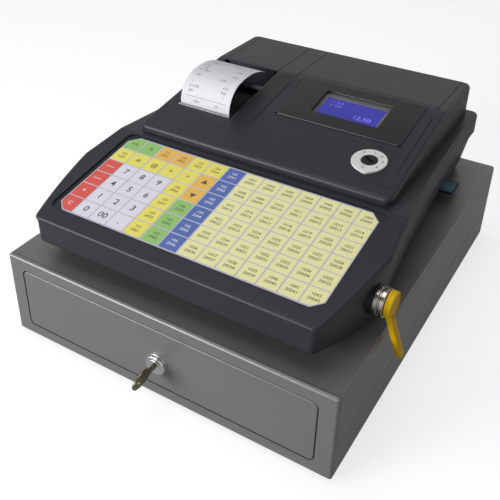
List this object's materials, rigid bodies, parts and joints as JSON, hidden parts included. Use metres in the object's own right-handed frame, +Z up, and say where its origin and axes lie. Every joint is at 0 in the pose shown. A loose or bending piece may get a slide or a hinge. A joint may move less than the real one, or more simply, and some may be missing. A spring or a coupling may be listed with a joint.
{
  "type": "cash register with drawer",
  "caption": "Counter ticket register: flat keyboard, receipt printer and operator display on a tapered head above a lockable sheet-steel cash drawer.",
  "frame": {"origin": "middle of the overall box at floor level", "axes": "+X to the operator's right, +Y away from the operator to the rear, +Z up"},
  "size_m": [0.3464, 0.4344, 0.2015],
  "materials": {
    "case_paint": "fine-textured dark grey powder coat",
    "drawer_paint": "fine-textured dark grey powder coat",
    "zinc": "bright zinc-plated sheet",
    "steel": "satin steel",
    "chrome": "polished chrome plate",
    "rubber": "matt black rubber",
    "roller": "natural acetal",
    "insert": "moulded black",
    "head_black": "fine-grained charcoal",
    "cover_black": "fine-grained charcoal",
    "sheet": "printed matt overlay film",
    "membrane": "switch membrane",
    "window": "tinted acrylic",
    "lcd": "blue display glass in its frame",
    "white_plastic": "white",
    "plug_black": "black",
    "board": "green circuit board",
    "iron": "laminated core",
    "paper": "white thermal paper",
    "gear": "natural acetal",
    "platen": "ground rubber on a steel shaft",
    "ceramic": "glazed ceramic line head",
    "yellow": "yellow",
    "card": "black",
    "key_metal": "nickel-plated brass"
  },
  "bodies": {
    "register": {"case_tray": "case_paint", "case_cover": "case_paint", "rubber_feet": "rubber", "case_runners": "zinc", "latch_bracket": "zinc", "solenoid_coil": "iron", "eject_spring": "steel", "base_shell": "head_black", "top_shell": "head_black", "key_sheet": "sheet", "membrane": "membrane", "keyboard_plate": "zinc", "module_housing": "head_black", "hinge_pins": "steel", "display_window": "window", "lcd_module": "lcd", "mode_dial": "white_plastic", "mode_switch": "plug_black", "printer_frame": "zinc", "print_head": "ceramic", "feed_motor": "steel", "tear_bar": "steel", "receipt_paper": "paper", "main_board": "board", "power_supply": "iron", "rear_ports": "plug_black", "screws": "zinc", "waiter_collar": "chrome", "waiter_contact": "board", "sd_socket": "steel"},
    "drawer": {"drawer_front": "drawer_paint", "drawer_box": "zinc", "lock_collar": "chrome", "lock_nut": "steel", "till_insert": "insert", "coin_tray": "insert", "clip_rod": "steel"},
    "lock_cylinder": {"lock_plug": "chrome", "lock_cam": "steel"},
    "lock_key": {"drawer_key": "key_metal"},
    "clip_1": {"note_clip_1": "insert"},
    "clip_2": {"note_clip_2": "insert"},
    "clip_3": {"note_clip_3": "insert"},
    "clip_4": {"note_clip_4": "insert"},
    "latch": {"latch_hook": "steel"},
    "plunger": {"solenoid_plunger": "steel"},
    "front_rollers": {"case_rollers": "roller"},
    "rear_rollers": {"drawer_rollers": "roller"},
    "printer_lid": {"printer_cover": "cover_black"},
    "rear_display": {"customer_display": "cover_black", "customer_window": "window"},
    "mode_cylinder": {"mode_plug": "plug_black"},
    "platen": {"platen_roller": "platen", "platen_gear": "gear"},
    "pinion": {"feed_pinion": "gear"},
    "paper": {"paper_roll": "paper", "paper_core": "gear"},
    "clerk_key": {"waiter_key": "yellow"},
    "memory_card": {"sd_card": "card"},
    "switch_rocker": {"power_rocker": "plug_black"}
  },
  "joints": [
    {"name": "drawer_slide", "type": "slide", "parent": "register", "child": "drawer", "axis": [0, -1, 0], "range_m": [0, 0.27]},
    {"name": "front_roller_spin", "type": "hinge", "parent": "register", "child": "front_rollers", "pos_m": [-0.00822, -0.1602, 0.0321], "axis": [1, 0, 0], "continuous": true},
    {"name": "rear_roller_spin", "type": "hinge", "parent": "drawer", "child": "rear_rollers", "pos_m": [-0.00822, 0.1458, 0.0321], "axis": [1, 0, 0], "continuous": true},
    {"name": "drawer_lock_turn", "type": "hinge", "parent": "drawer", "child": "lock_cylinder", "pos_m": [-0.00822, -0.1842, 0.0412], "axis": [0, 1, 0], "range_deg": [0, 90]},
    {"name": "drawer_key_pull", "type": "slide", "parent": "lock_cylinder", "child": "lock_key", "axis": [0, -1, 0], "range_m": [0, 0.03]},
    {"name": "latch_pivot", "type": "hinge", "parent": "register", "child": "latch", "pos_m": [-0.00822, 0.1878, 0.058], "axis": [1, 0, 0], "range_deg": [0, 12]},
    {"name": "plunger_slide", "type": "slide", "parent": "register", "child": "plunger", "axis": [0, 0, 1], "range_m": [0, 0.003]},
    {"name": "printer_lid_hinge", "type": "hinge", "parent": "register", "child": "printer_lid", "pos_m": [-0.09462, 0.1926, 0.1781], "axis": [-1, 0, 0], "range_deg": [0, 75]},
    {"name": "rear_display_tilt", "type": "hinge", "parent": "register", "child": "rear_display", "pos_m": [0.03553, 0.12289, 0.1852], "axis": [1, 0, 0], "range_deg": [0, 35]},
    {"name": "mode_lock_turn", "type": "hinge", "parent": "register", "child": "mode_cylinder", "pos_m": [0.08578, 0.01409, 0.17129], "axis": [0, -0.1635, 0.9865], "range_deg": [-90, 90]},
    {"name": "platen_spin", "type": "hinge", "parent": "register", "child": "platen", "pos_m": [-0.09462, 0.0273, 0.151], "axis": [1, 0, 0], "continuous": true},
    {"name": "pinion_spin", "type": "hinge", "parent": "register", "child": "pinion", "pos_m": [-0.06137, 0.0359, 0.14145], "axis": [1, 0, 0], "continuous": true},
    {"name": "paper_spin", "type": "hinge", "parent": "register", "child": "paper", "pos_m": [-0.09462, 0.1538, 0.143], "axis": [1, 0, 0], "continuous": true},
    {"name": "clerk_key_pull", "type": "slide", "parent": "register", "child": "clerk_key", "axis": [1, 0, 0], "range_m": [0, 0.016]},
    {"name": "card_pull", "type": "slide", "parent": "register", "child": "memory_card", "axis": [1, 0, 0], "range_m": [0, 0.018]},
    {"name": "power_rocker_tip", "type": "hinge", "parent": "register", "child": "switch_rocker", "pos_m": [-0.00822, 0.1967, 0.113], "axis": [1, 0, 0], "range_deg": [0, 20]},
    {"name": "note_clip_1_lift", "type": "hinge", "parent": "drawer", "child": "clip_1", "pos_m": [-0.10947, 0.1358, 0.0571], "axis": [-1, 0, 0], "range_deg": [0, 30], "stiffness_Nm_per_rad": 0.03, "springref_deg": -20.05},
    {"name": "note_clip_2_lift", "type": "hinge", "parent": "drawer", "child": "clip_2", "pos_m": [-0.04197, 0.1358, 0.0571], "axis": [-1, 0, 0], "range_deg": [0, 30], "stiffness_Nm_per_rad": 0.03, "springref_deg": -20.05},
    {"name": "note_clip_3_lift", "type": "hinge", "parent": "drawer", "child": "clip_3", "pos_m": [0.02553, 0.1358, 0.0571], "axis": [-1, 0, 0], "range_deg": [0, 30], "stiffness_Nm_per_rad": 0.03, "springref_deg": -20.05},
    {"name": "note_clip_4_lift", "type": "hinge", "parent": "drawer", "child": "clip_4", "pos_m": [0.09303, 0.1358, 0.0571], "axis": [-1, 0, 0], "range_deg": [0, 30], "stiffness_Nm_per_rad": 0.03, "springref_deg": -20.05}
  ],
  "couplings": [
    {"joint": "front_roller_spin", "follows": "drawer_slide", "rad_per_m": 125},
    {"joint": "rear_roller_spin", "follows": "drawer_slide", "rad_per_m": 125},
    {"joint": "plunger_slide", "follows": "latch_pivot", "m_per_rad": 0.013},
    {"joint": "platen_spin", "follows": "paper_spin", "ratio": 3.0631},
    {"joint": "pinion_spin", "follows": "paper_spin", "ratio": -7.6578}
  ]
}
